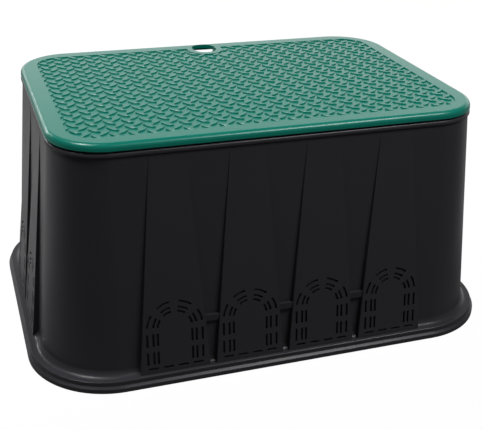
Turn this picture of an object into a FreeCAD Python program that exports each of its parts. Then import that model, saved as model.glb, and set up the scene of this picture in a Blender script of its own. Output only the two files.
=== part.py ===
import FreeCAD, Part
import Sketcher
import math
import os

# Jumbo irrigation valve box: a flared black body, open at the bottom, and a loose green lid.
# The origin is at the middle of the footprint, Z up. The long side lies along X and -Y is the front.

Vector = FreeCAD.Vector
doc = FreeCAD.newDocument("valve_box")

# Driving dimensions, in millimetres.
SIZES = {
    # the whole box
    "overall_height": 305,
    "wall": 4,
    # the lid
    "lid_length": 545,
    "lid_depth": 378,
    "lid_corner": 69,
    "lid_rim": 9,
    "lid_edge": 3,
    "lid_plate": 5.5,
    "lid_skirt": 3,
    "lid_border": 24,
    "field_corner": 34,
    "field_sink": 1.6,
    # the tread on the lid
    "tread_pitch_x": 21.75,
    "tread_pitch_y": 21.4,
    "tread_width": 6.2,
    "tread_rise": 1.6,
    "tread_clearance": 1,
    # the finger hole at the back edge of the lid
    "finger_width": 34,
    "finger_length": 42,
    "finger_strip": 6,
    "finger_collar": 9,
    # the ribs under the lid
    "rib_clearance": 4,
    "rib_thickness": 3,
    "rib_depth": 10,
    "rib_pitch": 120,
    # the top rim of the body, under and inside the lid's skirt
    "lid_overhang": 0.5,
    "skirt_clearance": 1,
    "rim_gap": 2,
    "rim_band": 5,
    "rim_band_proud": 1.2,
    # the flared wall, and the flats that round each corner of the chamber behind it
    "wall_flare": 25.5,
    "chamber_corner_flats": 4,
    # the flange round the foot
    "flange_length": 626,
    "flange_depth": 454,
    "flange_corner": 106,
    "lip_height": 6,
    "lip_slope": 2.5,
    "lip_width": 3.5,
    "ledge_level": 14,
    "cove_level": 23,
    "cove_reach": 8,
    # the proud tapered pads
    "pad_pitch": 96,
    "pad_top_width": 44,
    "pad_foot_width": 88,
    "pad_proud": 7.5,
    "pad_top_level": 283,
    # the bridges between neighbouring pads
    "bridge_level": 76,
    "bridge_height": 8,
    "bridge_setback": 1.5,
    # the knock-out slots
    "slot_width": 2.8,
    "slot_depth": 2.6,
    "slot_outer_radius": 34.5,
    "slot_middle_radius": 27,
    "slot_inner_radius": 21.5,
    "slot_arc_degrees": 28,
    "slot_first_degrees": 20,
    "slot_second_degrees": 66,
    "arch_level": 72,
    "leg_slot_length": 17,
    "leg_upper_level": 58.5,
    "leg_lower_level": 34.5,
    "sill_level": 20.5,
    "sill_slot_length": 12.5,
    "sill_slot_pitch": 18.8,
    # the lifting notch in the body's back rim
    "notch_width": 42,
    "notch_depth": 16,
}

sheet = doc.addObject("Spreadsheet::Sheet", "sizes")
for row, (alias, size) in enumerate(SIZES.items(), start=1):
    sheet.set(f"A{row}", alias)
    sheet.set(f"B{row}", str(size))
    sheet.setAlias(f"B{row}", alias)
doc.recompute()


def size(alias):
    return float(getattr(sheet, alias))


# Expressions that several features share.
LID_UNDERSIDE = "(sizes.overall_height - sizes.lid_plate)"
RIM_TOP = LID_UNDERSIDE
RIM_BAND_TOP = "(sizes.overall_height - sizes.lid_rim - sizes.rim_gap)"
WALL_TOP = f"({RIM_BAND_TOP} - sizes.rim_band)"
RIM_LENGTH = "(sizes.lid_length - 2 * sizes.lid_overhang)"
RIM_DEPTH = "(sizes.lid_depth - 2 * sizes.lid_overhang)"
RIM_CORNER = "(sizes.lid_corner - sizes.lid_overhang)"
UPSTAND_INSET = "(sizes.lid_skirt + sizes.skirt_clearance - sizes.lid_overhang)"
FIELD_LENGTH = "(sizes.lid_length - 2 * sizes.lid_border)"
FIELD_DEPTH = "(sizes.lid_depth - 2 * sizes.lid_border)"
HOLE_BACK = "(sizes.lid_depth / 2 - sizes.finger_strip)"
HOLE_FRONT = f"({HOLE_BACK} - sizes.finger_length)"
FLARE_SLOPE = f"(sizes.wall_flare / {WALL_TOP})"


def pad_count(facing):
    """Four pads along each long side, two on each end."""
    return 4 if facing % 180 == 0 else 2


def side_rotation(facing):
    """Turns local X along a side, local Y up and local Z out of it; 0 degrees faces the front."""
    turn = FreeCAD.Rotation(Vector(0, 0, 1), facing)
    return turn.multiply(FreeCAD.Rotation(Vector(1, 0, 0), 90))


def origin_feature(body, role):
    for feature in body.Origin.OriginFeatures:
        if feature.Role == role:
            return feature


def new_body(name):
    body = doc.addObject("PartDesign::Body", name)
    body.Label = name
    return body


def new_sketch(body, name, role, offset=None):
    """A sketch on one of the body's own planes, moved out along Z by an expression."""
    sketch = body.newObject("Sketcher::SketchObject", name)
    sketch.AttachmentSupport = (origin_feature(body, role), [""])
    sketch.MapMode = "FlatFace"
    if offset:
        sketch.setExpression(".AttachmentOffset.Base.z", offset)
    return sketch


def bind(sketch, index, name, expression):
    sketch.renameConstraint(index, name)
    sketch.setExpression(f"Constraints.{name}", expression)


def rounded_rectangle(body, name, level, length, depth, corner):
    """A rounded rectangle about the Z axis at one level, its three sizes given by expressions."""
    sketch = new_sketch(body, name, "XY_Plane", level)
    half_x, half_y, radius = 200.0, 150.0, 50.0
    corners = [(1, 1), (-1, 1), (-1, -1), (1, -1)]
    arcs = []
    for number, (side_x, side_y) in enumerate(corners):
        centre = Vector(side_x * (half_x - radius), side_y * (half_y - radius), 0)
        circle = Part.Circle(centre, Vector(0, 0, 1), radius)
        start = math.radians(90 * number)
        arcs.append(sketch.addGeometry(Part.ArcOfCircle(circle, start, start + math.pi / 2), False))
    lines = []
    for number in range(4):
        begin = sketch.getPoint(arcs[number], 2)
        finish = sketch.getPoint(arcs[(number + 1) % 4], 1)
        lines.append(sketch.addGeometry(Part.LineSegment(begin, finish), False))
    for number in range(4):
        following = arcs[(number + 1) % 4]
        sketch.addConstraint(Sketcher.Constraint("Tangent", arcs[number], 2, lines[number], 1))
        sketch.addConstraint(Sketcher.Constraint("Tangent", lines[number], 2, following, 1))
    for number, direction in enumerate(["Horizontal", "Vertical", "Horizontal", "Vertical"]):
        sketch.addConstraint(Sketcher.Constraint(direction, lines[number]))
    for number in range(1, 4):
        sketch.addConstraint(Sketcher.Constraint("Equal", arcs[0], arcs[number]))
    sketch.addConstraint(Sketcher.Constraint("Symmetric", arcs[0], 3, arcs[2], 3, -1, 1))
    across = Sketcher.Constraint("DistanceX", lines[1], 1, lines[3], 1, 2 * half_x)
    bind(sketch, sketch.addConstraint(across), "length", length)
    along = Sketcher.Constraint("DistanceY", lines[2], 1, lines[0], 1, 2 * half_y)
    bind(sketch, sketch.addConstraint(along), "depth", depth)
    bind(sketch, sketch.addConstraint(Sketcher.Constraint("Radius", arcs[0], radius)), "corner", corner)
    return sketch


def pad(body, name, sketch, height):
    feature = body.newObject("PartDesign::Pad", name)
    feature.Profile = sketch
    feature.setExpression("Length", height)
    sketch.Visibility = False
    return feature


def pocket_down(body, name, sketch, depth):
    """Cuts from the sketch's level downwards."""
    feature = body.newObject("PartDesign::Pocket", name)
    feature.Profile = sketch
    feature.setExpression("Length", depth)
    sketch.Visibility = False
    return feature


def loft(body, kind, name, lower, upper):
    feature = body.newObject(f"PartDesign::{kind}Loft", name)
    feature.Profile = lower
    feature.Sections = [upper]
    feature.Ruled = True
    lower.Visibility = False
    upper.Visibility = False
    return feature


def ring_step(body, name, level, inset, top_level, top_inset=None):
    """One step of the flange: the footprint moved in by an inset, straight or sloping up."""
    outline = [f"sizes.flange_length - 2 * ({inset})", f"sizes.flange_depth - 2 * ({inset})",
               f"sizes.flange_corner - ({inset})"]
    lower = rounded_rectangle(body, f"{name}_outline", level, *outline)
    if top_inset is None:
        return pad(body, name, lower, f"{top_level} - ({level})")
    top = [f"sizes.flange_length - 2 * ({top_inset})", f"sizes.flange_depth - 2 * ({top_inset})",
           f"sizes.flange_corner - ({top_inset})"]
    upper = rounded_rectangle(body, f"{name}_top", top_level, *top)
    return loft(body, "Additive", name, lower, upper)


def wall_outline(body, name, level, inset="0"):
    """The flared wall's outline at a level, moved in by an inset."""
    flare = f"({FLARE_SLOPE} * ({WALL_TOP} - ({level})) - sizes.rim_band_proud - ({inset}))"
    return rounded_rectangle(body, name, level, f"{RIM_LENGTH} + 2 * {flare}",
                             f"{RIM_DEPTH} + 2 * {flare}", f"{RIM_CORNER} + {flare}")


def lid_outline(body, name, level, inset):
    return rounded_rectangle(body, name, level, f"sizes.lid_length - 2 * ({inset})",
                             f"sizes.lid_depth - 2 * ({inset})", f"sizes.lid_corner - ({inset})")


def rim_outline(body, name, level, inset):
    return rounded_rectangle(body, name, level, f"{RIM_LENGTH} - 2 * ({inset})",
                             f"{RIM_DEPTH} - 2 * ({inset})", f"{RIM_CORNER} - ({inset})")


def side_wedge(body, kind, name, facing, across, outward, up):
    """A block tapered upwards on one side of the box, each span given at its foot and at its top."""
    wedge = body.newObject(f"PartDesign::{kind}Wedge", name)
    wedge.AttachmentSupport = (origin_feature(body, "XY_Plane"), [""])
    wedge.MapMode = "FlatFace"
    wedge.AttachmentOffset = FreeCAD.Placement(Vector(0, 0, 0), side_rotation(facing))
    (foot_across, top_across), (foot_outward, top_outward) = across, outward
    spans = [("Xmin", "Xmax", foot_across), ("X2min", "X2max", top_across), ("Ymin", "Ymax", up),
             ("Zmin", "Zmax", foot_outward), ("Z2min", "Z2max", top_outward)]
    for low_name, high_name, (low, high) in spans:
        wedge.setExpression(low_name, low)
        wedge.setExpression(high_name, high)
    return wedge


def row_along(body, feature, name, facing, count):
    """Repeats a feature along its side of the box, one pad pitch apart."""
    if count == 1:
        return
    pattern = body.newObject("PartDesign::LinearPattern", name)
    pattern.Originals = [feature]
    pattern.Direction = (origin_feature(body, "X_Axis" if facing % 180 == 0 else "Y_Axis"), [""])
    pattern.Reversed = facing >= 180
    pattern.Occurrences = count
    pattern.setExpression("Length", f"{count - 1} * sizes.pad_pitch")
    body.Tip = pattern


def pad_row(body, kind, name, facing, inset):
    """A row of tapered pads on one side, or the hollows behind them."""
    count = pad_count(facing)
    first = f"(-{(count - 1) / 2} * sizes.pad_pitch)"
    reach = RIM_DEPTH if facing % 180 == 0 else RIM_LENGTH
    foot = "sizes.ledge_level" if kind == "Additive" else "0"
    flare_at_foot = f"({FLARE_SLOPE} * ({WALL_TOP} - ({foot})) - sizes.rim_band_proud)"
    flare_at_top = f"({FLARE_SLOPE} * ({WALL_TOP} - sizes.pad_top_level) - sizes.rim_band_proud)"
    stretch = f"((sizes.pad_top_level - ({foot})) / (sizes.pad_top_level - sizes.ledge_level))"
    foot_width = f"(sizes.pad_top_width + (sizes.pad_foot_width - sizes.pad_top_width) * {stretch})"
    across = [(f"{first} - {width} / 2 + ({inset})", f"{first} + {width} / 2 - ({inset})")
              for width in (foot_width, "sizes.pad_top_width")]
    foot_outer = f"{reach} / 2 + {flare_at_foot} + sizes.pad_proud * {stretch} - ({inset})"
    top_outer = f"{reach} / 2 + {flare_at_top} - ({inset})"
    buried = f"(2 * sizes.wall - ({inset}))"
    outward = [(f"{foot_outer} - sizes.pad_proud - {buried}", foot_outer),
               (f"{top_outer} - {buried}", top_outer)]
    wedge = side_wedge(body, kind, name, facing, across, outward, (foot, "sizes.pad_top_level"))
    row_along(body, wedge, f"{name}_row", facing, count)


def add_bridges(body, name, facing):
    """Short horizontal ribs that join neighbouring pads across the valleys between them."""
    count = pad_count(facing) - 1
    reach = RIM_DEPTH if facing % 180 == 0 else RIM_LENGTH
    first = f"(-{(count - 1) / 2} * sizes.pad_pitch)"
    rise = "((sizes.pad_top_level - sizes.bridge_level) / (sizes.pad_top_level - sizes.ledge_level))"
    wall_at = f"({reach} / 2 + {FLARE_SLOPE} * ({WALL_TOP} - sizes.bridge_level) - sizes.rim_band_proud)"
    pad_width = f"(sizes.pad_top_width + (sizes.pad_foot_width - sizes.pad_top_width) * {rise})"
    width = f"(sizes.pad_pitch - {pad_width} + sizes.wall)"
    across = (f"{first} - {width} / 2", f"{first} + {width} / 2")
    outward = (f"{wall_at} - sizes.wall / 2",
               f"{wall_at} + sizes.pad_proud * {rise} - sizes.bridge_setback")
    up = ("sizes.bridge_level - sizes.bridge_height / 2", "sizes.bridge_level + sizes.bridge_height / 2")
    bridge = side_wedge(body, "Additive", name, facing, [across, across], [outward, outward], up)
    row_along(body, bridge, f"{name}_row", facing, count)


def upright_rectangle(body, name, middle, width, top, height):
    """A rectangle in the XZ plane, from a top level down."""
    sketch = new_sketch(body, name, "XZ_Plane")
    points = [Vector(-20, 280, 0), Vector(20, 280, 0), Vector(20, 300, 0), Vector(-20, 300, 0)]
    for number in range(4):
        sketch.addGeometry(Part.LineSegment(points[number], points[(number + 1) % 4]), False)
    for number in range(4):
        sketch.addConstraint(Sketcher.Constraint("Coincident", number, 2, (number + 1) % 4, 1))
    for number, direction in enumerate(["Horizontal", "Vertical", "Horizontal", "Vertical"]):
        sketch.addConstraint(Sketcher.Constraint(direction, number))
    gauges = [("width", "DistanceX", (0, 1, 0, 2), width), ("height", "DistanceY", (1, 1, 1, 2), height),
              ("top", "DistanceY", (-1, 1, 2, 1), top)]
    for label, axis, ends, expression in gauges:
        bind(sketch, sketch.addConstraint(Sketcher.Constraint(axis, *ends, 20.0)), label, expression)
    left = Sketcher.Constraint("DistanceX", 3, 1, -1, 1, 20.0)
    bind(sketch, sketch.addConstraint(left), "left", f"({width}) / 2 - ({middle})")
    return sketch


def add_notch(body):
    """The lifting notch through the back rim, behind the lid's finger hole."""
    sketch = upright_rectangle(body, "notch_outline", "0", "sizes.notch_width",
                               RIM_TOP, "sizes.notch_depth")
    cut = body.newObject("PartDesign::Pocket", "lifting_notch")
    cut.Profile = sketch
    cut.Reversed = False
    cut.setExpression("Length", "sizes.lid_depth / 2")
    sketch.Visibility = False


def make_body_blank():
    """The body moulding from outside: stepped flange, flared wall, rim, and pads with their hollows."""
    body = new_body("body_moulding")
    ring_step(body, "lip", "0", "0", "sizes.lip_height")
    ring_step(body, "lip_chamfer", "sizes.lip_height", "0",
              "sizes.lip_height + sizes.lip_slope", "sizes.lip_width")
    ring_step(body, "ledge", "0", "sizes.lip_width", "sizes.ledge_level")
    cove_lower = wall_outline(body, "cove_foot", "sizes.ledge_level", "-sizes.cove_reach")
    loft(body, "Additive", "cove", cove_lower, wall_outline(body, "cove_top", "sizes.cove_level"))
    loft(body, "Additive", "flared_wall", wall_outline(body, "wall_foot", "0"),
         wall_outline(body, "wall_head", WALL_TOP))
    pad(body, "rim_band", rim_outline(body, "rim_band_outline", WALL_TOP, "0"), "sizes.rim_band")
    upstand = rim_outline(body, "upstand_outline", RIM_BAND_TOP, UPSTAND_INSET)
    pad(body, "upstand", upstand, f"{RIM_TOP} - {RIM_BAND_TOP}")
    for name, facing in SIDES:
        pad_row(body, "Additive", f"{name}_pads", facing, "0")
    for name, facing in SIDES:
        pad_row(body, "Subtractive", f"{name}_hollows", facing, "sizes.wall")
    for name, facing in SIDES:
        add_bridges(body, f"{name}_bridge", facing)
    add_notch(body)
    return body


def pyramid(base, apex):
    """A solid with four sides that rise or sink from a flat base to one point."""
    faces = [Part.Face(Part.makePolygon(base + base[:1]))]
    for number in range(4):
        edge = [base[number], base[(number + 1) % 4]]
        faces.append(Part.Face(Part.makePolygon(edge + [apex, edge[0]])))
    solid = Part.Solid(Part.Shell(faces))
    if solid.Volume < 0:
        solid.reverse()
    return solid


def slot_cutter(length, across, along, turn):
    """One slot of a knock-out, sunk to a point, at a place on the pad's face (local XY plane)."""
    depth = size("slot_depth")
    proud = 0.4
    spread = (1 + proud / depth) / 2
    direction = FreeCAD.Rotation(Vector(0, 0, 1), turn)
    middle = Vector(across, along, 0)
    base = [middle + direction.multVec(Vector(side * length * spread, edge * size("slot_width") * spread, proud))
            for side, edge in [(-1, -1), (1, -1), (1, 1), (-1, 1)]]
    return pyramid(base, middle - Vector(0, 0, depth))


def knock_out():
    """The 28 slots of one knock-out, in three nested arches, about the centre of the arch."""
    arc = size("slot_arc_degrees")
    half_arc = math.radians(arc / 2)
    lean = math.cos(pad_lean())
    sill = (size("sill_level") - size("arch_level")) / lean
    slots = []
    for radius in (size("slot_outer_radius"), size("slot_middle_radius"), size("slot_inner_radius")):
        chord = 2 * radius * math.sin(half_arc)
        chord_radius = radius * (1 + math.cos(half_arc)) / 2
        for direction in (size("slot_first_degrees"), size("slot_second_degrees")):
            for angle in (direction, 180 - direction):
                across = chord_radius * math.cos(math.radians(angle))
                along = chord_radius * math.sin(math.radians(angle))
                slots.append(slot_cutter(chord, across, along, angle + 90))
        for level in (size("leg_upper_level"), size("leg_lower_level")):
            along = (level - size("arch_level")) / lean
            for side in (-1, 1):
                slots.append(slot_cutter(size("leg_slot_length"), side * radius, along, 90))
    for number in range(4):
        slots.append(slot_cutter(size("sill_slot_length"), (number - 1.5) * size("sill_slot_pitch"), sill, 0))
    return Part.makeCompound(slots)


def flare_at(level):
    """How far the wall stands outside the rim's outline at a level."""
    wall_top = size("overall_height") - size("lid_rim") - size("rim_gap") - size("rim_band")
    return size("wall_flare") * (wall_top - level) / wall_top - size("rim_band_proud")


def pad_face(level, facing):
    """The distance of a pad's face from the box's centre at a level."""
    reach = size("lid_depth") if facing % 180 == 0 else size("lid_length")
    rise = (size("pad_top_level") - level) / (size("pad_top_level") - size("ledge_level"))
    return reach / 2 - size("lid_overhang") + flare_at(level) + size("pad_proud") * rise


def pad_lean():
    """The angle at which a pad's face leans back from upright, in radians."""
    drop = size("pad_top_level") - size("ledge_level")
    run = pad_face(size("ledge_level"), 0) - pad_face(size("pad_top_level"), 0)
    return math.atan(run / drop)


def chamber_outline(level):
    """Points round the chamber at a level, one wall behind the outside, its corners in short flats."""
    rim_top = size("overall_height") - size("lid_plate")
    foot_inset = size("wall") - flare_at(0)
    mouth_inset = size("lid_skirt") + size("skirt_clearance") - size("lid_overhang") + size("wall")
    inset = foot_inset + (mouth_inset - foot_inset) * level / rim_top + size("lid_overhang")
    radius = size("lid_corner") - inset
    flats = round(size("chamber_corner_flats"))
    points = []
    for quarter, (side_x, side_y) in enumerate([(1, 1), (-1, 1), (-1, -1), (1, -1)]):
        centre = Vector(side_x * (size("lid_length") / 2 - size("lid_corner")),
                        side_y * (size("lid_depth") / 2 - size("lid_corner")), level)
        for step in range(flats + 1):
            angle = math.radians(90 * (quarter + step / flats))
            points.append(centre + Vector(math.cos(angle), math.sin(angle), 0) * radius)
    return points


def make_chamber():
    """The room inside the box, open at the foot and at the mouth."""
    lower = chamber_outline(-1)
    upper = chamber_outline(size("overall_height") - size("lid_plate") + 1)
    faces = [Part.Face(Part.makePolygon(ring + ring[:1])) for ring in (lower, upper)]
    for number in range(len(lower)):
        following = (number + 1) % len(lower)
        corners = [lower[number], lower[following], upper[following], upper[number]]
        faces.append(Part.Face(Part.makePolygon(corners + corners[:1])))
    room = Part.Solid(Part.Shell(faces))
    if room.Volume < 0:
        room.reverse()
    return room


def make_slots():
    """Every knock-out's slots, one knock-out on each pad."""
    pattern = knock_out()
    placed = []
    for _, facing in SIDES:
        stand = side_rotation(facing)
        lean = FreeCAD.Rotation(Vector(1, 0, 0), -math.degrees(pad_lean()))
        for number in range(pad_count(facing)):
            aside = (number - (pad_count(facing) - 1) / 2) * size("pad_pitch")
            spot = Vector(aside, size("arch_level"), pad_face(size("arch_level"), facing))
            copy = pattern.copy()
            copy.Placement = FreeCAD.Placement(stand.multVec(spot), stand.multiply(lean))
            placed.append(copy)
    return placed


def field_outline(body):
    """The tread field: a rounded rectangle with a round bite at the back for the finger hole's collar."""
    sketch = new_sketch(body, "field_outline", "XY_Plane", "sizes.overall_height")
    half_x, half_y, radius, bite, bite_y = 240.0, 160.0, 34.0, 26.0, 155.0
    bite_x = math.sqrt(bite ** 2 - (half_y - bite_y) ** 2)
    sides = [(1, 1), (-1, 1), (-1, -1), (1, -1)]
    for number, (side_x, side_y) in enumerate(sides):
        centre = Vector(side_x * (half_x - radius), side_y * (half_y - radius), 0)
        start = math.radians(90 * number)
        circle = Part.Circle(centre, Vector(0, 0, 1), radius)
        sketch.addGeometry(Part.ArcOfCircle(circle, start, start + math.pi / 2), False)
    turn = [sketch.getPoint(number, end) for number in range(4) for end in (1, 2)]
    right_end, left_end = Vector(bite_x, half_y, 0), Vector(-bite_x, half_y, 0)
    for begin, finish in [(turn[1], right_end), (left_end, turn[2]), (turn[3], turn[4]),
                          (turn[5], turn[6]), (turn[7], turn[0])]:
        sketch.addGeometry(Part.LineSegment(begin, finish), False)
    opening = math.asin((half_y - bite_y) / bite)
    collar = Part.Circle(Vector(0, bite_y, 0), Vector(0, 0, 1), bite)
    sketch.addGeometry(Part.ArcOfCircle(collar, math.pi - opening, 2 * math.pi + opening), False)
    for first, first_end, second, second_end in [(0, 2, 4, 1), (5, 2, 1, 1), (1, 2, 6, 1), (6, 2, 2, 1),
                                                 (2, 2, 7, 1), (7, 2, 3, 1), (3, 2, 8, 1), (8, 2, 0, 1)]:
        sketch.addConstraint(Sketcher.Constraint("Tangent", first, first_end, second, second_end))
    sketch.addConstraint(Sketcher.Constraint("Coincident", 9, 1, 5, 1))
    sketch.addConstraint(Sketcher.Constraint("Coincident", 9, 2, 4, 2))
    sketch.addConstraint(Sketcher.Constraint("PointOnObject", 5, 1, 4))
    sketch.addConstraint(Sketcher.Constraint("PointOnObject", 9, 3, -2))
    for line, direction in [(4, "Horizontal"), (5, "Horizontal"), (6, "Vertical"), (7, "Horizontal"),
                            (8, "Vertical")]:
        sketch.addConstraint(Sketcher.Constraint(direction, line))
    for number in range(1, 4):
        sketch.addConstraint(Sketcher.Constraint("Equal", 0, number))
    sketch.addConstraint(Sketcher.Constraint("Symmetric", 0, 3, 2, 3, -1, 1))
    gauges = [("length", Sketcher.Constraint("DistanceX", 6, 1, 8, 1, 2 * half_x), FIELD_LENGTH),
              ("depth", Sketcher.Constraint("DistanceY", 7, 1, 4, 1, 2 * half_y), FIELD_DEPTH),
              ("corner", Sketcher.Constraint("Radius", 0, radius), "sizes.field_corner"),
              ("collar", Sketcher.Constraint("Radius", 9, bite),
               "sizes.finger_width / 2 + sizes.finger_collar"),
              ("collar_place", Sketcher.Constraint("DistanceY", -1, 1, 9, 3, bite_y),
               f"{HOLE_FRONT} + sizes.finger_width / 2")]
    for label, constraint, expression in gauges:
        bind(sketch, sketch.addConstraint(constraint), label, expression)
    return sketch


def obround(body, name, level, width, back, front):
    """An upright-ended slot shape about the Y axis, from its front end to its back end."""
    sketch = new_sketch(body, name, "XY_Plane", level)
    radius, far, near = 17.0, 160.0, 150.0
    far_circle = Part.Circle(Vector(0, far, 0), Vector(0, 0, 1), radius)
    near_circle = Part.Circle(Vector(0, near, 0), Vector(0, 0, 1), radius)
    sketch.addGeometry(Part.ArcOfCircle(far_circle, 0, math.pi), False)
    sketch.addGeometry(Part.LineSegment(Vector(-radius, far, 0), Vector(-radius, near, 0)), False)
    sketch.addGeometry(Part.ArcOfCircle(near_circle, math.pi, 2 * math.pi), False)
    sketch.addGeometry(Part.LineSegment(Vector(radius, near, 0), Vector(radius, far, 0)), False)
    for first, first_end, second, second_end in [(0, 2, 1, 1), (1, 2, 2, 1), (2, 2, 3, 1), (3, 2, 0, 1)]:
        sketch.addConstraint(Sketcher.Constraint("Tangent", first, first_end, second, second_end))
    sketch.addConstraint(Sketcher.Constraint("Vertical", 1))
    sketch.addConstraint(Sketcher.Constraint("PointOnObject", 0, 3, -2))
    bind(sketch, sketch.addConstraint(Sketcher.Constraint("Radius", 0, radius)), "radius", f"({width}) / 2")
    far_gauge = Sketcher.Constraint("DistanceY", -1, 1, 0, 3, far)
    bind(sketch, sketch.addConstraint(far_gauge), "far", f"({back}) - ({width}) / 2")
    near_gauge = Sketcher.Constraint("DistanceY", -1, 1, 2, 3, near)
    bind(sketch, sketch.addConstraint(near_gauge), "near", f"({front}) + ({width}) / 2")
    return sketch


def rib_row(body, name, length, span, count):
    """A row of long straight ribs on the lid's underside, spread evenly over a span."""
    sketch = new_sketch(body, f"{name}_outline", "XY_Plane", f"{LID_UNDERSIDE} - sizes.rib_depth")
    points = [Vector(-50, -50, 0), Vector(50, -50, 0), Vector(50, -40, 0), Vector(-50, -40, 0)]
    for number in range(4):
        sketch.addGeometry(Part.LineSegment(points[number], points[(number + 1) % 4]), False)
    for number in range(4):
        sketch.addConstraint(Sketcher.Constraint("Coincident", number, 2, (number + 1) % 4, 1))
    for number, direction in enumerate(["Horizontal", "Vertical", "Horizontal", "Vertical"]):
        sketch.addConstraint(Sketcher.Constraint(direction, number))
    gauges = [("length", "DistanceX", (0, 1, 0, 2), length),
              ("thickness", "DistanceY", (1, 1, 1, 2), "sizes.rib_thickness"),
              ("start_x", "DistanceX", (0, 1, -1, 1), f"({length}) / 2"),
              ("start_y", "DistanceY", (0, 1, -1, 1), f"({span} + sizes.rib_thickness) / 2")]
    for label, axis, ends, expression in gauges:
        bind(sketch, sketch.addConstraint(Sketcher.Constraint(axis, *ends, 40.0)), label, expression)
    rib = pad(body, name, sketch, "sizes.rib_depth")
    pattern = body.newObject("PartDesign::LinearPattern", f"{name}_row")
    pattern.Originals = [rib]
    pattern.Direction = (sketch, ["V_Axis"])
    pattern.Occurrences = count
    pattern.setExpression("Length", span)
    body.Tip = pattern


def make_lid_blank():
    """The lid moulding without its tread: rimmed plate, sunk field, finger hole, ribs beneath."""
    body = new_body("lid_moulding")
    rim_bottom = "sizes.overall_height - sizes.lid_rim"
    edge_bottom = "sizes.overall_height - sizes.lid_edge"
    pad(body, "slab", lid_outline(body, "slab_outline", rim_bottom, "0"), f"{edge_bottom} - ({rim_bottom})")
    loft(body, "Additive", "sloping_edge", lid_outline(body, "edge_foot", edge_bottom, "0"),
         lid_outline(body, "edge_crown", "sizes.overall_height", "sizes.lid_edge"))
    inside = lid_outline(body, "skirt_inside", LID_UNDERSIDE, "sizes.lid_skirt")
    pocket_down(body, "underside", inside, "sizes.lid_rim - sizes.lid_plate")
    pocket_down(body, "field", field_outline(body), "sizes.field_sink")
    rib_inset = f"({UPSTAND_INSET} + sizes.wall + sizes.rib_clearance)"
    rib_row(body, "ribs", f"{RIM_LENGTH} - 2 * {rib_inset}", "sizes.rib_pitch", 2)
    hole = obround(body, "finger_outline", "sizes.overall_height", "sizes.finger_width",
                   HOLE_BACK, HOLE_FRONT)
    pocket_down(body, "finger_hole", hole, "sizes.lid_plate + sizes.rib_depth")
    return body


def in_rounded_rectangle(point, length, depth, corner):
    """Whether a point lies inside a rounded rectangle about the origin."""
    beyond_x = max(abs(point.x) - (length / 2 - corner), 0)
    beyond_y = max(abs(point.y) - (depth / 2 - corner), 0)
    return math.hypot(beyond_x, beyond_y) < corner


def clear_of_collar(point):
    """Whether a point lies clear of the plain collar round the finger hole."""
    radius = size("finger_width") / 2 + size("finger_collar") + size("tread_clearance")
    near = size("lid_depth") / 2 - size("finger_strip") - size("finger_length") + size("finger_width") / 2
    return math.hypot(point.x, min(point.y - near, 0)) > radius


def make_tread():
    """Crossed lozenges on the sunk field: each tip meets the widest point of its neighbour."""
    pitch_x, pitch_y = size("tread_pitch_x"), size("tread_pitch_y")
    spacing = math.hypot(pitch_x, pitch_y) / 2
    half_width = size("tread_width") / 2
    half_length = spacing - half_width
    rising = Vector(pitch_x, pitch_y, 0).normalize()
    falling = Vector(pitch_x, -pitch_y, 0).normalize()
    floor = size("overall_height") - size("field_sink")
    field = (size("lid_length") - 2 * size("lid_border"), size("lid_depth") - 2 * size("lid_border"))
    columns = math.ceil(field[0] / pitch_x / 2)
    rows = math.ceil(field[1] / pitch_y / 2)
    lozenges = []
    for column in range(-columns, columns + 1):
        for row in range(-rows, rows + 1):
            for shift, along, across in [(0, rising, falling), (0.5, falling, rising)]:
                centre = Vector((column + shift) * pitch_x, (row - 0.5 + shift) * pitch_y, floor)
                corners = [centre + along * half_length, centre + across * half_width,
                           centre - along * half_length, centre - across * half_width]
                if not all(in_rounded_rectangle(corner, *field, size("field_corner"))
                           and clear_of_collar(corner) for corner in corners):
                    continue
                lozenges.append(pyramid(corners, centre + Vector(0, 0, size("tread_rise"))))
    return lozenges


SIDES = [("front", 0), ("right", 90), ("back", 180), ("left", 270)]

blank = make_body_blank()
lid_blank = make_lid_blank()
doc.recompute()

openings = doc.addObject("Part::Feature", "chamber_and_slots")
openings.Shape = Part.makeCompound([make_chamber()] + make_slots())
box_body = doc.addObject("Part::Cut", "box_body")
box_body.Base = blank
box_body.Tool = openings
box_body.Label = "box_body"

lid = doc.addObject("Part::Feature", "lid")
tread = make_tread()
lid.Shape = lid_blank.Shape.fuse(tread)
lid.Label = "lid"
doc.recompute()

for obj in doc.Objects:
    if any(flag in obj.State for flag in ("Invalid", "Error")):
        raise RuntimeError(f"{obj.Name} failed: {obj.State}")

os.makedirs("parts", exist_ok=True)
for part in (box_body, lid):
    shape = part.Shape
    if shape.isNull() or not shape.isValid():
        raise RuntimeError(f"{part.Label} has no valid shape")
    shape.exportStep(f"parts/{part.Label}.step")
    print(part.Label, len(shape.Solids), "solid", round(shape.Volume), "mm3", len(shape.Faces), "faces")
print(len(tread), "lozenges")
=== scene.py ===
# %% [markdown]
# # A moulded valve box with a tread-plate lid
# The object is two plastic mouldings: a black box that flares towards its foot, open at the bottom,
# and a green lid that lies loose on its rim. The CAD solids give the outer sizes, so the first step is
# to load them. The visual pieces are then modelled around them, inside the same box.

# %% Load the frame
import math

import bmesh
import bpy
from mathutils import Matrix, Vector


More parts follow.
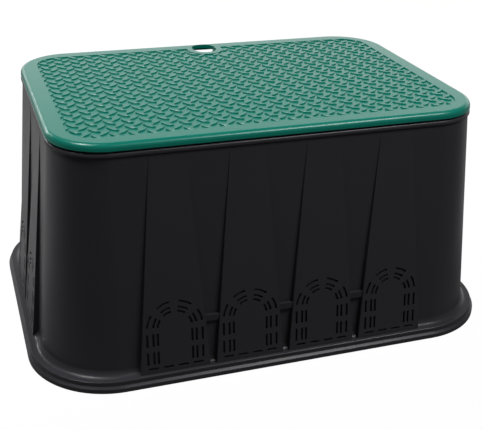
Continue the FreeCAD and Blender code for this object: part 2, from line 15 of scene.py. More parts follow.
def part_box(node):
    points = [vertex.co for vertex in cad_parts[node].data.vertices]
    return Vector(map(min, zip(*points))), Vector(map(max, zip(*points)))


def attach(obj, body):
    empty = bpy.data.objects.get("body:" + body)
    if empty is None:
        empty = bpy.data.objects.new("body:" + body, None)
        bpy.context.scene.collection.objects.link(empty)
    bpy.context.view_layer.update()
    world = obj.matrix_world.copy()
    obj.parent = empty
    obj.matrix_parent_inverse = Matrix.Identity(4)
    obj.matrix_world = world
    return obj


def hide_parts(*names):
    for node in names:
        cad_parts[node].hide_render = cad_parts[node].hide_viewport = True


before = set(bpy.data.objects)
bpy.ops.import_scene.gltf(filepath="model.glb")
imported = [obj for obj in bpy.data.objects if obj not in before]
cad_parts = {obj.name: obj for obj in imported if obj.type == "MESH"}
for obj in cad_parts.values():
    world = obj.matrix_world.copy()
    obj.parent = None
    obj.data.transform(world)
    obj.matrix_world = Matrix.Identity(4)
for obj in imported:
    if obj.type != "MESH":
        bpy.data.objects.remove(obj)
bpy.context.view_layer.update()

# %% [markdown]
# ## The driving sizes
# The frame tells how far the foot flange and the lid reach. Both are rectangles with round corners, and
# every step of the wall keeps the lid's corner centres, so a step is named by its corner radius alone.

# %% Driving sizes in metres
_, body_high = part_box("box_body")
_, lid_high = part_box("lid")
LID_TOP = lid_high.z
LID_PLATE = 0.0055
LID_UNDERSIDE = LID_TOP - LID_PLATE
LID_CORNER = 0.069
CORNER_CENTRE = (lid_high.x - LID_CORNER, lid_high.y - LID_CORNER)
FLANGE_CORNER = 0.106
FLANGE_CENTRE = (body_high.x - FLANGE_CORNER, body_high.y - FLANGE_CORNER)
CORNER_STEPS = 20
print("corner centres", [round(value, 4) for value in CORNER_CENTRE])

# %% [markdown]
# ## Rings that follow a rounded rectangle
# A moulding like this is one outline carried up through many steps. The outline starts as a flat
# rectangle whose four points are bevelled into arcs. Each further step extrudes the open edge and sets
# the new points at another corner radius and height, so that all arcs stay true arcs about the same
# centres.

# %% Helper: rounded outline and its steps
def rounded_face(mesh, centre, radius, level):
    """A flat face with round corners at a level."""
    half_x, half_y = centre[0] + radius, centre[1] + radius
    grid = bmesh.ops.create_grid(mesh, x_segments=1, y_segments=1, size=1.0)
    for vert in grid["verts"]:
        vert.co = Vector((vert.co.x * half_x, vert.co.y * half_y, level))
    bmesh.ops.bevel(mesh, geom=grid["verts"], offset=radius, offset_type="OFFSET",
                    segments=CORNER_STEPS, profile=0.5, affect="VERTICES", material=-1)
    return max(mesh.faces, key=lambda candidate: candidate.calc_area())


def set_ring(verts, centre, radius, level):
    """Moves a ring's points to another corner radius about the corner centres, and to a level."""
    for vert in verts:
        corner = Vector((math.copysign(centre[0], vert.co.x), math.copysign(centre[1], vert.co.y), 0))
        away = Vector((vert.co.x, vert.co.y, 0)) - corner
        moved = corner + away.normalized() * radius
        vert.co = Vector((moved.x, moved.y, level))


def next_ring(mesh, edges, centre, radius, level, old_centre=None):
    """Extrudes an open ring and moves the new one to its place; returns the new edges."""
    grown = bmesh.ops.extrude_edge_only(mesh, edges=edges)["geom"]
    verts = [item for item in grown if isinstance(item, bmesh.types.BMVert)]
    if old_centre:
        for vert in verts:
            vert.co.x += math.copysign(centre[0] - old_centre[0], vert.co.x)
            vert.co.y += math.copysign(centre[1] - old_centre[1], vert.co.y)
    set_ring(verts, centre, radius, level)
    return [item for item in grown if isinstance(item, bmesh.types.BMEdge)]


def new_piece(name, mesh, hidden=False):
    """Makes an object of a finished bmesh, at the origin, and links it to the scene."""
    bmesh.ops.recalc_face_normals(mesh, faces=mesh.faces)
    data = bpy.data.meshes.new(name)
    mesh.to_mesh(data)
    mesh.free()
    piece = bpy.data.objects.new(name, data)
    bpy.context.scene.collection.objects.link(piece)
    piece.hide_render = hidden
    piece.hide_viewport = hidden
    print(name, len(data.polygons), "faces")
    return piece


# %% [markdown]
# ## The body's shell
# The section of the shell is drawn from the foot up: the flange's lip, its sloping top, a riser, a
# ledge, the cove that swells into the corners, then the long flared wall and the band under the lid.
# The band's round shoulder stands a hair outside the lid's edge, where it catches a thin light. The
# ring then goes up round the upstand that carries the lid, turns over it and runs down inside. The
# wall that this leaves is four millimetres thick at the foot and about five under the band.

# %% Sizes of the shell's section
WALL = 0.004
WALL_TOP = 0.289
WALL_INSET = 0.0017
WALL_FLARE = 0.0255
FOOT_CHAMFER = 0.0004
COVE_FOOT, COVE_TOP, COVE_REACH, COVE_STEPS = 0.014, 0.023, 0.008, 6
BAND_RADIUS, BAND_TOP = LID_CORNER + 0.0003, 0.294
BAND_ROUNDING, BAND_STEPS = 0.0032, 5
BAND_EDGE_IN, BAND_EDGE_UP = 0.0004, 0.0005
BAND_ROOT = 0.0010
UPSTAND_RADIUS = 0.065


def wall_radius(level):
    """Corner radius of the flared wall's outside at a level."""
    return LID_CORNER - WALL_INSET + WALL_FLARE / WALL_TOP * (WALL_TOP - level)


def quarter_turn(steps):
    """The cosine and sine of each step of a quarter turn."""
    turns = [math.radians(90 * step / steps) for step in range(steps + 1)]
    return [(math.cos(turn), math.sin(turn)) for turn in turns]


# %% The section's steps, each a corner radius and a level
flange_steps = [(FLANGE_CORNER - inward, level) for inward, level in (
    (0.0, FOOT_CHAMFER), (0.0, 0.0052), (0.0002, 0.0058), (0.0007, 0.0063), (0.0031, 0.0081),
    (0.0034, 0.0086), (0.0035, 0.0130), (0.0037, 0.0136), (0.0043, COVE_FOOT))]
cove_steps = []
for along, up in quarter_turn(COVE_STEPS):
    level = COVE_FOOT + (COVE_TOP - COVE_FOOT) * (1 - along)
    cove_steps.append((wall_radius(level) + COVE_REACH * (1 - up), level))
rim_steps = [(wall_radius(WALL_TOP), WALL_TOP - BAND_ROOT), (BAND_RADIUS - BAND_EDGE_IN, WALL_TOP),
             (BAND_RADIUS, WALL_TOP + BAND_EDGE_UP)]
for along, up in quarter_turn(BAND_STEPS):
    rim_steps.append((BAND_RADIUS - BAND_ROUNDING * (1 - along), BAND_TOP - BAND_ROUNDING * (1 - up)))
rim_steps += [(UPSTAND_RADIUS, BAND_TOP), (UPSTAND_RADIUS, LID_UNDERSIDE),
              (UPSTAND_RADIUS - WALL, LID_UNDERSIDE)]
print("steps of the section", len(flange_steps) + len(cove_steps) + len(rim_steps))

# %% The shell, carried up through its section and closed at the foot
shell = bmesh.new()
foot_face = rounded_face(shell, FLANGE_CENTRE, FLANGE_CORNER - FOOT_CHAMFER, 0.0)
foot_ring = list(foot_face.edges)
bmesh.ops.delete(shell, geom=[foot_face], context="FACES_ONLY")
ring = foot_ring
for radius, level in flange_steps:
    ring = next_ring(shell, ring, FLANGE_CENTRE, radius, level)
ring = next_ring(shell, ring, CORNER_CENTRE, *cove_steps[0], FLANGE_CENTRE)
for radius, level in cove_steps[1:] + rim_steps:
    ring = next_ring(shell, ring, CORNER_CENTRE, radius, level)
ring = next_ring(shell, ring, CORNER_CENTRE, wall_radius(0) - WALL, 0.0)
bmesh.ops.bridge_loops(shell, edges=ring + foot_ring)
body_shell = new_piece("body_shell", shell)

# %% [markdown]
# ## Pads, hollows and bridges
# Twelve proud pads stiffen the wall and carry the knock-outs. Each is a block that widens and stands
# further out towards its foot. The same block, one wall thickness smaller, is cut from behind so that
# the moulding keeps an even wall. They are made on one side of the box first, and turned to each side.

# %% Helper: tapered blocks on a side of the box
PAD_PITCH = 0.096
PAD_TOP, PAD_FOOT = 0.283, 0.014
PAD_TOP_HALF, PAD_FOOT_HALF = 0.022, 0.044
PAD_PROUD = 0.0075
UPRIGHT_RISE = 0.01
# Each side's facing, in degrees from the front, and its number of pads
SIDES = ((0, 4), (90, 2), (180, 4), (270, 2))


def wall_face(facing, level):
    """Distance from the box's centre to the wall's outside, on a side and at a level."""
    return CORNER_CENTRE[0 if facing % 180 else 1] + wall_radius(level)


def pad_rise(level):
    """0 at the pad's top, 1 at its foot."""
    return (PAD_TOP - level) / (PAD_TOP - PAD_FOOT)


def pad_face(facing, level):
    """Distance from the box's centre to a pad's face."""
    return wall_face(facing, level) + PAD_PROUD * pad_rise(level)


def pad_half(level):
    """Half a pad's width."""
    return PAD_TOP_HALF + (PAD_FOOT_HALF - PAD_TOP_HALF) * pad_rise(level)


def pad_section(facing, level, root, thinner=0.0):
    """A pad's section at a level, sunk into the wall by its root, or a thinner one for its hollow."""
    return (level, pad_half(level) - thinner, wall_face(facing, level) - root,
            pad_face(facing, level) - thinner)


def tapered_block(mesh, facing, middle, low, high, rounding=0.0):
    """A block between two levels; low and high are (level, half width, inner face, outer face)."""
    verts = bmesh.ops.create_cube(mesh, size=2.0)["verts"]
    for vert in verts:
        level, half, inner, outer = high if vert.co.z > 0 else low
        depth = outer if vert.co.y < 0 else inner
        vert.co = Vector((middle + math.copysign(half, vert.co.x), -depth, level))
    if rounding:
        faces = {face for vert in verts for face in vert.link_faces}
        outer_face = min(faces, key=lambda face: face.calc_center_median().y)
        upright = [edge for edge in outer_face.edges
                   if abs(edge.verts[0].co.z - edge.verts[1].co.z) > UPRIGHT_RISE]
        made = bmesh.ops.bevel(mesh, geom=upright, offset=rounding, offset_type="OFFSET", segments=3,
                               profile=0.5, affect="EDGES", material=-1)
        verts = list({vert for vert in verts if vert.is_valid} | set(made["verts"]))
    turn = Matrix.Rotation(math.radians(facing), 4, "Z")
    bmesh.ops.transform(mesh, matrix=turn, verts=verts)


# %% Pads and bridges to add, hollows and the back's notch to cut
PAD_ROOT, PAD_ROUNDING = 0.003, 0.0012
HOLLOW_FOOT, HOLLOW_ROOT = -0.002, 0.008
BRIDGE_LEVEL, BRIDGE_HEIGHT, BRIDGE_SETBACK, BRIDGE_ROOT = 0.076, 0.008, 0.0015, 0.002
NOTCH_HALF, NOTCH_DEPTH, NOTCH_INNER, NOTCH_OUTER = 0.021, 0.016, 0.170, 0.205
added = bmesh.new()
cut = bmesh.new()
for facing, count in SIDES:
    for number in range(count):
        middle = (number - (count - 1) / 2) * PAD_PITCH
        tapered_block(added, facing, middle, pad_section(facing, PAD_FOOT, PAD_ROOT),
                      pad_section(facing, PAD_TOP, PAD_ROOT), rounding=PAD_ROUNDING)
        tapered_block(cut, facing, middle, pad_section(facing, HOLLOW_FOOT, HOLLOW_ROOT, WALL),
                      pad_section(facing, PAD_TOP, HOLLOW_ROOT, WALL))
    for number in range(count - 1):
        middle = (number - (count - 2) / 2) * PAD_PITCH
        bridge = (PAD_PITCH / 2 - pad_half(BRIDGE_LEVEL) + BRIDGE_ROOT,
                  wall_face(facing, BRIDGE_LEVEL) - BRIDGE_ROOT,
                  pad_face(facing, BRIDGE_LEVEL) - BRIDGE_SETBACK)
        tapered_block(added, facing, middle, (BRIDGE_LEVEL - BRIDGE_HEIGHT / 2, *bridge),
                      (BRIDGE_LEVEL + BRIDGE_HEIGHT / 2, *bridge))
notch = (NOTCH_HALF, NOTCH_INNER, NOTCH_OUTER)
tapered_block(cut, 180, 0.0, (LID_UNDERSIDE - NOTCH_DEPTH, *notch), (LID_TOP, *notch))
pads_to_add = new_piece("pads_to_add", added, hidden=True)
hollows_to_cut = new_piece("hollows_to_cut", cut, hidden=True)

# %% [markdown]
# ## The knock-outs' slots
# Each pad carries a weakened arch, ringed by three rows of slots, so that a pipe's opening can be
# broken out. The curved slots are made by spinning a small upright rectangle about the arch's centre,
# the straight ones are slim boxes. All of them cut into the pad's face and stop short of its back.

# %% Helper: straight and curved slots
SLOT_WIDTH, SLOT_DEPTH, SLOT_PROUD = 0.0028, 0.0030, 0.001
SLOT_RADII = (0.0345, 0.0270, 0.0215)
ARC_SPANS, ARC_STEPS = ((6, 34), (52, 80)), 5
ARCH_LEVEL = 0.072
LEG_LENGTH, LEG_LEVELS = 0.017, (0.0585, 0.0345)
SILL_LEVEL, SILL_LENGTH, SILL_PITCH, SILL_COUNT = 0.0205, 0.0125, 0.0188, 4
PAD_LEAN = math.atan((pad_face(0, PAD_FOOT) - pad_face(0, PAD_TOP)) / (PAD_TOP - PAD_FOOT))


def up_the_pad(level):
    """Distance up the leaning pad from the arch's centre to a level."""
    return (level - ARCH_LEVEL) / math.cos(PAD_LEAN)


def straight_slot(mesh, across, along, length, upright):
    """A slot along or across the pad, about a point of its face."""
    size = (SLOT_WIDTH, length) if upright else (length, SLOT_WIDTH)
    place = Matrix.Translation((across, along, (SLOT_PROUD - SLOT_DEPTH) / 2))
    scale = Matrix.Diagonal((*size, SLOT_DEPTH + SLOT_PROUD, 1.0))
    bmesh.ops.create_cube(mesh, size=1.0, matrix=place @ scale)


def curved_slot(mesh, radius, start, finish):
    """A slot along an arc about the local origin, between two angles in degrees."""
    place = Matrix.Rotation(math.radians(start), 4, "Z") @ Matrix.Translation(
        (radius, 0, (SLOT_PROUD - SLOT_DEPTH) / 2)) @ Matrix.Rotation(math.radians(90), 4, "X")
    scale = Matrix.Diagonal((SLOT_WIDTH, SLOT_DEPTH + SLOT_PROUD, 1.0, 1.0))
    grid = bmesh.ops.create_grid(mesh, x_segments=1, y_segments=1, size=0.5, matrix=place @ scale)
    face = grid["verts"][0].link_faces[0]
    bmesh.ops.spin(mesh, geom=[face] + list(face.edges) + list(face.verts), cent=(0, 0, 0),
                   axis=(0, 0, 1), angle=math.radians(finish - start), steps=ARC_STEPS,
                   use_duplicate=False)


# %% One knock-out's slots, copied to every pad
one_knock_out = bmesh.new()
for radius in SLOT_RADII:
    for start, finish in ARC_SPANS:
        curved_slot(one_knock_out, radius, start, finish)
        curved_slot(one_knock_out, radius, 180 - finish, 180 - start)
    for level in LEG_LEVELS:
        for side in (-1, 1):
            straight_slot(one_knock_out, side * radius, up_the_pad(level), LEG_LENGTH, True)
for number in range(SILL_COUNT):
    across = (number - (SILL_COUNT - 1) / 2) * SILL_PITCH
    straight_slot(one_knock_out, across, up_the_pad(SILL_LEVEL), SILL_LENGTH, False)
bmesh.ops.recalc_face_normals(one_knock_out, faces=one_knock_out.faces)
pattern = bpy.data.meshes.new("one_knock_out")
one_knock_out.to_mesh(pattern)
one_knock_out.free()

slots = bmesh.new()
for facing, count in SIDES:
    for number in range(count):
        before = len(slots.verts)
        slots.from_mesh(pattern)
        slots.verts.ensure_lookup_table()
        middle = (number - (count - 1) / 2) * PAD_PITCH
        stand = Matrix.Rotation(math.radians(facing), 4, "Z") @ Matrix.Translation(
            (middle, -pad_face(facing, ARCH_LEVEL), ARCH_LEVEL)) @ Matrix.Rotation(
                math.radians(90) - PAD_LEAN, 4, "X")
        bmesh.ops.transform(slots, matrix=stand, verts=slots.verts[before:])
slots_to_cut = new_piece("slots_to_cut", slots, hidden=True)

# %% [markdown]
# ## Joining and cutting
# The real wall, pads and slots come out of one mould as one piece. The blocks could be sewn to the
# shell's mesh by hand, but the Boolean modifier joins and cuts closed shapes exactly, also where they
# overlap. Its result is then kept as a plain mesh, and edges that turn sharply are shaded sharp.

# %% Join, hollow and slot the shell
SHARP_TURN = math.radians(24)


def add_boolean(piece, name, operation, other):
    """Joins or cuts another closed shape, exactly, also where its own blocks overlap."""
    modifier = piece.modifiers.new(name, "BOOLEAN")
    modifier.operation = operation
    modifier.object = other
    modifier.solver = "EXACT"
    modifier.use_self = True


def finish_piece(piece, name, helpers):
    """Keeps the piece's evaluated mesh, clears its modifiers and helpers, and shades it smooth."""
    evaluated = piece.evaluated_get(bpy.context.evaluated_depsgraph_get())
    data = bpy.data.meshes.new_from_object(evaluated)
    piece.modifiers.clear()
    piece.data = data
    piece.name = data.name = name
    for helper in helpers:
        bpy.data.objects.remove(helper)
    data.shade_smooth()
    data.set_sharp_from_angle(angle=SHARP_TURN)
    weights = piece.modifiers.new("even_shading", "WEIGHTED_NORMAL")
    weights.keep_sharp = True
    print(name, len(data.polygons), "faces")
    return piece


add_boolean(body_shell, "pads", "UNION", pads_to_add)
add_boolean(body_shell, "hollows", "DIFFERENCE", hollows_to_cut)
add_boolean(body_shell, "slots", "DIFFERENCE", slots_to_cut)
box_body = finish_piece(body_shell, "valve_box_body", [pads_to_add, hollows_to_cut, slots_to_cut])

# %% [markdown]
# ## The lid's plate
# The lid is a thin plate with a short skirt round its edge. Its section goes from the underside, down
# inside the skirt, round its foot and up over a large rounded edge to the border. The tread field is
# then sunk into the top by a cutter that leaves a round collar standing beside the finger hole.

# %% Plate, skirt and rounded edge
LID_RIM, SKIRT = 0.009, 0.003
SKIRT_EASE, SKIRT_ROUND = 0.0002, 0.0006
EDGE, EDGE_STEPS, EDGE_DRAFT = 0.0065, 9, 0.0003
SKIRT_FOOT = LID_TOP - LID_RIM
lid_steps = [(LID_CORNER - SKIRT, SKIRT_FOOT), (LID_CORNER - SKIRT_ROUND, SKIRT_FOOT),
             (LID_CORNER - SKIRT_EASE, SKIRT_FOOT + SKIRT_EASE), (LID_CORNER, SKIRT_FOOT + SKIRT_ROUND)]
for along, up in quarter_turn(EDGE_STEPS):
    lid_steps.append((LID_CORNER - EDGE_DRAFT - EDGE * (1 - along), LID_TOP - EDGE * (1 - up)))
plate = bmesh.new()
ring = list(rounded_face(plate, CORNER_CENTRE, LID_CORNER - SKIRT, LID_UNDERSIDE).edges)
for radius, level in lid_steps:
    ring = next_ring(plate, ring, CORNER_CENTRE, radius, level)
bmesh.ops.edgeloop_fill(plate, edges=ring)
lid_plate = new_piece("lid_plate", plate)

# %% Field cutter with the collar left standing
FIELD_SINK, FIELD_BORDER, FIELD_CORNER = 0.0016, 0.024, 0.034
FIELD_FLOOR = LID_TOP - FIELD_SINK
FIELD_CENTRE = (lid_high.x - FIELD_BORDER - FIELD_CORNER, lid_high.y - FIELD_BORDER - FIELD_CORNER)
FLARE_FOOT, FLARE_TOP = LID_TOP - 0.0004, LID_TOP + 0.0008
HOLE_HALF, HOLE_LENGTH, HOLE_STRIP, HOLE_SEGMENTS, HOLE_CUT = 0.017, 0.042, 0.006, 64, 0.06
COLLAR, COLLAR_SEGMENTS, COLLAR_HEIGHT = 0.009, 72, 0.01
hole_far = lid_high.y - HOLE_STRIP - HOLE_HALF
hole_near = lid_high.y - HOLE_STRIP - HOLE_LENGTH + HOLE_HALF

field = bmesh.new()
ring = list(rounded_face(field, FIELD_CENTRE, FIELD_CORNER, FIELD_FLOOR).edges)
ring = next_ring(field, ring, FIELD_CENTRE, FIELD_CORNER, FLARE_FOOT)
ring = next_ring(field, ring, FIELD_CENTRE, FIELD_CORNER + FLARE_TOP - FLARE_FOOT, FLARE_TOP)
bmesh.ops.edgeloop_fill(field, edges=ring)
field_to_cut = new_piece("field_to_cut", field, hidden=True)

collar = bmesh.new()
bmesh.ops.create_cone(collar, cap_ends=True, segments=COLLAR_SEGMENTS, radius1=HOLE_HALF + COLLAR,
                      radius2=HOLE_HALF + COLLAR, depth=COLLAR_HEIGHT,
                      matrix=Matrix.Translation((0, hole_near, LID_TOP)))
collar_to_keep = new_piece("collar_to_keep", collar, hidden=True)
add_boolean(field_to_cut, "collar", "DIFFERENCE", collar_to_keep)

# %% [markdown]
# ## The finger hole and the ribs
# The hole at the back lets a finger lift the lid. Its cutter is a round post that is split through its
# axis, and its back half is moved back, which stretches the post. Two long ribs stiffen the plate from
# beneath, where the lid hides them.

# %% Finger hole cutter and the ribs under the plate
hole = bmesh.new()
bmesh.ops.create_cone(hole, cap_ends=True, segments=HOLE_SEGMENTS, radius1=HOLE_HALF,
                      radius2=HOLE_HALF, depth=HOLE_CUT,
                      matrix=Matrix.Translation((0, hole_near, LID_UNDERSIDE)))
bmesh.ops.bisect_plane(hole, geom=hole.verts[:] + hole.edges[:] + hole.faces[:],
                       plane_co=(0, hole_near, 0), plane_no=(0, 1, 0))
for vert in hole.verts:
    if vert.co.y > hole_near + 1e-6:
        vert.co.y += hole_far - hole_near
hole_to_cut = new_piece("hole_to_cut", hole, hidden=True)

RIB_DEPTH, RIB_THICK, RIB_PITCH, RIB_ROOT, RIB_CLEARANCE = 0.010, 0.003, 0.120, 0.001, 0.004
rib_half = CORNER_CENTRE[0] + UPSTAND_RADIUS - WALL - RIB_CLEARANCE
rib_shape = Matrix.Diagonal((2 * rib_half, RIB_THICK, RIB_DEPTH + RIB_ROOT, 1.0))
rib_level = LID_UNDERSIDE + (RIB_ROOT - RIB_DEPTH) / 2
ribs = bmesh.new()
for side in (-0.5, 0.5):
    stand = Matrix.Translation((0, side * RIB_PITCH, rib_level))
    bmesh.ops.create_cube(ribs, size=1.0, matrix=stand @ rib_shape)
ribs_to_add = new_piece("ribs_to_add", ribs, hidden=True)

add_boolean(lid_plate, "field", "DIFFERENCE", field_to_cut)
add_boolean(lid_plate, "ribs", "UNION", ribs_to_add)
add_boolean(lid_plate, "hole", "DIFFERENCE", hole_to_cut)
lid = finish_piece(lid_plate, "valve_box_lid", [field_to_cut, collar_to_keep, hole_to_cut, ribs_to_add])

# %% [markdown]
# ## The tread
# Rows of raised lozenges give the sunk field its grip. They lie on a lattice, rising to the right on
# its points and to the left half a cell on, so that each tip points at the middle of its neighbour. The
# pitch and the lattice's place follow the photograph. A lozenge has two bulging sides, which stand
# steeply, and a flat top. Those at the edge run on under the border, which trims them.

# %% Helper: one lozenge
LOZENGE_LENGTH, LOZENGE_WIDTH = 0.0185, 0.0060
LOZENGE_CROWN = FIELD_SINK - 0.0001
LOZENGE_ROOT, LOZENGE_EDGE = 0.0004, 0.0004
SIDE_INSET, TOP_INSET, TIP_SHARE = 0.0003, 0.0008, 1.6


def lozenge_outline(length, width, steps=5):
    """Points round a lozenge: two equal arcs that meet in points at its ends."""
    radius = (length ** 2 + width ** 2) / (4 * width)
    half_angle = math.asin(length / 2 / radius)
    upper = []
    for step in range(steps):
        angle = half_angle * (2 * step / steps - 1)
        across = radius * math.cos(angle) - (radius - width / 2)
        upper.append(Vector((radius * math.sin(angle), across, 0)))
    return upper + [Vector((-point.x, -point.y, 0)) for point in upper]


def lozenge(mesh, x, y, turn):
    """One lozenge: steep sides from the field's floor, a narrow sloping edge and a flat top."""
    stand = Matrix.Translation((x, y, FIELD_FLOOR)) @ Matrix.Rotation(turn, 4, "Z")
    rings = []
    for inset, level in ((0.0, -LOZENGE_ROOT), (SIDE_INSET, LOZENGE_CROWN - LOZENGE_EDGE),
                         (TOP_INSET, LOZENGE_CROWN)):
        outline = lozenge_outline(LOZENGE_LENGTH - 2 * TIP_SHARE * inset, LOZENGE_WIDTH - 2 * inset)
        rings.append([mesh.verts.new(stand @ (point + Vector((0, 0, level)))) for point in outline])
    around = len(rings[0])
    for lower, upper in zip(rings, rings[1:]):
        for number in range(around):
            after = (number + 1) % around
            mesh.faces.new((lower[number], lower[after], upper[after], upper[number]))
    mesh.faces.new(rings[0])
    mesh.faces.new(rings[-1])


# %% Lozenges on their lattice
PITCH_X, PITCH_Y = 0.0215, 0.0214
SHIFT_X, SHIFT_Y = 0.0082, -0.0001
TIP_OVERLAP, MIDDLE_BEYOND, HOLE_GAP = 0.001, 0.009, 0.002


def in_field(x, y, beyond):
    """Whether a point lies in the sunk field, or no further outside it than a distance."""
    beyond_x = max(abs(x) - FIELD_CENTRE[0], 0)
    beyond_y = max(abs(y) - FIELD_CENTRE[1], 0)
    return math.hypot(beyond_x, beyond_y) < FIELD_CORNER + beyond


def from_hole(x, y):
    """A point's distance from the middle of the collar, or from the line that runs on behind it."""
    return math.hypot(x, min(y - hole_near, 0))


def is_wanted(x, y, turn):
    """Whether a lozenge reaches into the field, has its middle near it, and clears the finger hole."""
    reach_x, reach_y = LOZENGE_LENGTH / 2 * math.cos(turn), LOZENGE_LENGTH / 2 * math.sin(turn)
    tips = [(x + side * reach_x, y + side * reach_y) for side in (-1, 1)]
    touches = any(in_field(*tip, -TIP_OVERLAP) for tip in tips) and in_field(x, y, MIDDLE_BEYOND)
    return touches and min(from_hole(*tip) for tip in tips) > HOLE_HALF + HOLE_GAP


tread = bmesh.new()
lean = math.atan2(PITCH_Y, PITCH_X)
columns, rows = round(lid_high.x / PITCH_X) + 1, round(lid_high.y / PITCH_Y) + 1
count = 0
for column in range(-columns, columns + 1):
    for row in range(-rows, rows + 1):
        for half, turn in ((0.0, lean), (0.5, -lean)):
            x = (column + half) * PITCH_X + SHIFT_X
            y = (row + half) * PITCH_Y + SHIFT_Y
            if is_wanted(x, y, turn):
                lozenge(tread, x, y, turn)
                count += 1
lid_tread = new_piece("lid_tread", tread)
print("lozenges", count)

# %% [markdown]
# ## Plastics
# Both mouldings are polyethylene with a satin skin. One shader with a soft gloss serves both, with their
# own colours. A bump from noise breaks up the gloss, because the skin of the real mouldings isn't
# perfectly even. On the black box the noise is drawn out upright, like the streaks that plastic leaves
# as it flows up a mould. On the green lid it is fine and faint.

# %% Black and green polyethylene
BUMP_HEIGHT, NOISE_DETAIL = 0.0004, 4.0


def plastic(name, colour, roughness, gloss, grain, stretch, relief):
    """A moulded plastic whose noise is as fine as grain and drawn out upright by a low stretch."""
    material = bpy.data.materials.new(name)
    material.use_nodes = True
    nodes, links = material.node_tree.nodes, material.node_tree.links
    shader = nodes["Principled BSDF"]
    shader.inputs["Base Color"].default_value = (*colour, 1.0)
    shader.inputs["Roughness"].default_value = roughness
    shader.inputs["Specular IOR Level"].default_value = gloss
    coordinates = nodes.new("ShaderNodeTexCoord")
    flow = nodes.new("ShaderNodeMapping")
    flow.inputs["Scale"].default_value = (1.0, 1.0, stretch)
    links.new(coordinates.outputs["Object"], flow.inputs["Vector"])
    noise = nodes.new("ShaderNodeTexNoise")
    noise.inputs["Scale"].default_value = grain
    noise.inputs["Detail"].default_value = NOISE_DETAIL
    links.new(flow.outputs["Vector"], noise.inputs["Vector"])
    bump = nodes.new("ShaderNodeBump")
    bump.inputs["Strength"].default_value = relief
    bump.inputs["Distance"].default_value = BUMP_HEIGHT
    links.new(noise.outputs["Fac"], bump.inputs["Height"])
    links.new(bump.outputs["Normal"], shader.inputs["Normal"])
    return material


black_plastic = plastic("black_polyethylene", (0.041, 0.040, 0.047), roughness=0.33, gloss=0.28,
                        grain=120.0, stretch=0.04, relief=0.25)
green_plastic = plastic("green_polyethylene", (0.001, 0.215, 0.155), roughness=0.28, gloss=0.45,
                        grain=160.0, stretch=1.0, relief=0.04)
for piece, material, node, slot_name in [(box_body, black_plastic, "box_body", "body_plastic"),
                                         (lid, green_plastic, "lid", "lid_plastic"),
                                         (lid_tread, green_plastic, "lid", "lid_plastic")]:
    piece.data.materials.clear()
    piece.data.materials.append(material)
    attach(piece, "root")
    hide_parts(node)
print("materials", [material.name for material in (black_plastic, green_plastic)])

# %% [markdown]
# ## The floor
# The picture is a studio cut-out on white. The camera's own rays see a white floor, which a Light Path
# node picks out, and a little of the paint, so that the shadow shows. The plastic sees only the paint,
# which is dark in front of the box and paler from the box on. This is painted light: a painted pool of
# light behind the box and painted shade in front, in place of light that falls from behind. A grey
# floor lit to white would wash out the walls instead.

# %% Helpers for floor and sky
def white_to_camera(nodes, links, plain, white, share):
    """Mixes a plain shader with a white one that only the camera's own rays see."""
    path = nodes.new("ShaderNodeLightPath")
    part = nodes.new("ShaderNodeMath")
    part.operation = "MULTIPLY"
    part.inputs[1].default_value = share
    links.new(path.outputs["Is Camera Ray"], part.inputs[0])
    mix = nodes.new("ShaderNodeMixShader")
    links.new(part.outputs[0], mix.inputs["Fac"])
    links.new(plain, mix.inputs[1])
    links.new(white, mix.inputs[2])
    return mix.outputs[0]


def ramp(nodes, links, value, start, finish, first, last, shape):
    """Turns a value between start and finish into one between first and last."""
    span = nodes.new("ShaderNodeMapRange")
    span.interpolation_type = shape
    span.inputs["From Min"].default_value = start
    span.inputs["From Max"].default_value = finish
    span.inputs["To Min"].default_value = first
    span.inputs["To Max"].default_value = last
    links.new(value, span.inputs["Value"])
    return span.outputs["Result"]


# %% White floor that darkens towards the front
FLOOR_HALF = 6.0
FLOOR_GLOW, GLOW_SHARE = 1.15, 0.85
floor_mesh = bmesh.new()
bmesh.ops.create_grid(floor_mesh, x_segments=1, y_segments=1, size=FLOOR_HALF)
floor = new_piece("studio_floor", floor_mesh)
floor_material = bpy.data.materials.new("studio_white")
floor_material.use_nodes = True
floor_nodes, floor_links = floor_material.node_tree.nodes, floor_material.node_tree.links
paint = floor_nodes["Principled BSDF"]
paint.inputs["Roughness"].default_value = 1.0
floor_place = floor_nodes.new("ShaderNodeTexCoord")
floor_axes = floor_nodes.new("ShaderNodeSeparateXYZ")
floor_links.new(floor_place.outputs["Object"], floor_axes.inputs[0])
# Painted light: the floor's paint runs from dark in front to pale behind, in place of light falling from
# behind the box
painted_floor_light = ramp(floor_nodes, floor_links, floor_axes.outputs["Y"], start=-0.3, finish=0.1,
             first=0.08, last=0.50, shape="LINEAR")
floor_links.new(painted_floor_light, paint.inputs["Base Color"])
glow = floor_nodes.new("ShaderNodeEmission")
glow.inputs["Strength"].default_value = FLOOR_GLOW
floor_surface = white_to_camera(floor_nodes, floor_links, paint.outputs[0], glow.outputs[0], GLOW_SHARE)
floor_links.new(floor_surface, floor_nodes["Material Output"].inputs["Surface"])
floor.data.materials.append(floor_material)

# %% [markdown]
# ## The sky
# The camera sees a white sky. The plastic sees a world that is bright only low behind the box, a little
# to its right, and dim in front and above. The lid mirrors that bright part and gets its pale sheen,
# while the walls stay dark. A bright card behind the box would do much the same, but would have to be
# hidden from the camera.

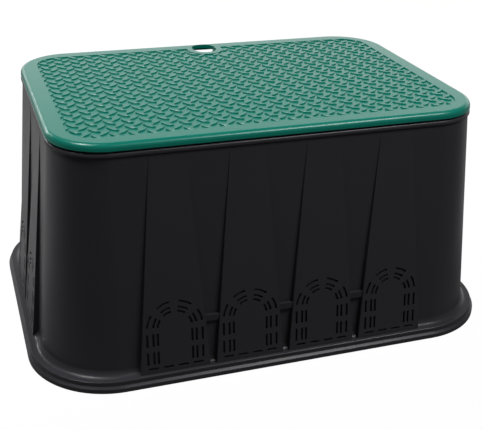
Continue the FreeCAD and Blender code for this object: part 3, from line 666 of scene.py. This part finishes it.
# %% Sky that is bright low behind the box
BEHIND = (0.30, 0.95, 0.0)
WHITE = (1.0, 1.0, 1.0, 1.0)
world = bpy.data.worlds.new("studio")
bpy.context.scene.world = world
world.use_nodes = True
sky_nodes, sky_links = world.node_tree.nodes, world.node_tree.links
direction = sky_nodes.new("ShaderNodeTexCoord")
sky_axes = sky_nodes.new("ShaderNodeSeparateXYZ")
sky_links.new(direction.outputs["Generated"], sky_axes.inputs[0])
behind = sky_nodes.new("ShaderNodeVectorMath")
behind.operation = "DOT_PRODUCT"
behind.inputs[1].default_value = BEHIND
sky_links.new(direction.outputs["Generated"], behind.inputs[0])
backdrop = ramp(sky_nodes, sky_links, behind.outputs["Value"], start=0.4, finish=0.92,
                first=0.10, last=1.0, shape="SMOOTHSTEP")
horizon = ramp(sky_nodes, sky_links, sky_axes.outputs["Z"], start=0.27, finish=0.40,
               first=1.5, last=0.25, shape="SMOOTHSTEP")
strength = sky_nodes.new("ShaderNodeMath")
strength.operation = "MULTIPLY"
sky_links.new(backdrop, strength.inputs[0])
sky_links.new(horizon, strength.inputs[1])
sky = sky_nodes["Background"]
sky.inputs["Color"].default_value = WHITE
sky_links.new(strength.outputs[0], sky.inputs["Strength"])
white_sky = sky_nodes.new("ShaderNodeBackground")
white_sky.inputs["Color"].default_value = WHITE
sky_surface = white_to_camera(sky_nodes, sky_links, sky.outputs[0], white_sky.outputs[0], 1.0)
sky_links.new(sky_surface, sky_nodes["World Output"].inputs["Surface"])
print("floor and sky", floor_material.name, world.name)

# %% [markdown]
# ## The lamps
# Three softboxes draw the lights on the edges. Two stand high, at the front right and at the left, where
# the lid's round edge and the band's shoulder mirror them to the camera as thin lines. A long low one
# behind on the left lights the left end. Point lamps would give sparks in place of lines.

# %% Soft lamps
AIM_HEIGHT = 0.3


def soft_lamp(name, place, aim_x, size, watts):
    """A rectangular softbox, turned to a point on the box's long axis at the lid's height."""
    data = bpy.data.lights.new(name, "AREA")
    data.shape = "RECTANGLE"
    data.size, data.size_y = size
    data.energy = watts
    lamp = bpy.data.objects.new(name, data)
    lamp.location = place
    aim = Vector((aim_x, 0.0, AIM_HEIGHT)) - Vector(place)
    lamp.rotation_euler = aim.to_track_quat("-Z", "Y").to_euler()
    bpy.context.scene.collection.objects.link(lamp)
    print(name, watts, "W")


soft_lamp("front_right", place=(0.80, -0.90, 1.82), aim_x=0.0, size=(0.9, 0.3), watts=18.0)
soft_lamp("top_left", place=(-0.85, 0.0, 1.9), aim_x=0.0, size=(0.4, 0.4), watts=18.0)
soft_lamp("back_left", place=(-1.1, 1.7, 1.05), aim_x=-0.25, size=(0.6, 0.12), watts=6.0)

# %% [markdown]
# ## The camera
# The camera stands where the photograph was taken, so that outlines match. Its place, its three angles
# and its lens were fitted to the outlines of the lid, the band and the foot. A Track To constraint would
# be simpler, but it can't hold the slight roll.

# %% Camera at the photograph's place
YAW, PITCH, ROLL = 0.330, 0.4499, -0.0246
CAMERA_PLACE = (-0.3693, -1.1056, 0.6681)
SENSOR_WIDTH, LENS = 36.0, 67.36
forward = Vector((math.sin(YAW) * math.cos(PITCH), math.cos(YAW) * math.cos(PITCH), -math.sin(PITCH)))
level_right = Vector((math.cos(YAW), -math.sin(YAW), 0.0))
level_down = forward.cross(level_right)
right = level_right * math.cos(ROLL) + level_down * math.sin(ROLL)
down = level_down * math.cos(ROLL) - level_right * math.sin(ROLL)
camera_data = bpy.data.cameras.new("camera")
camera_data.sensor_width = SENSOR_WIDTH
camera_data.lens = LENS
camera = bpy.data.objects.new("camera", camera_data)
turn = Matrix((right, -down, -forward)).transposed().to_4x4()
camera.matrix_world = Matrix.Translation(CAMERA_PLACE) @ turn
bpy.context.scene.collection.objects.link(camera)
bpy.context.scene.camera = camera
bpy.context.scene.view_settings.view_transform = "Standard"
print("camera lens in mm", LENS)
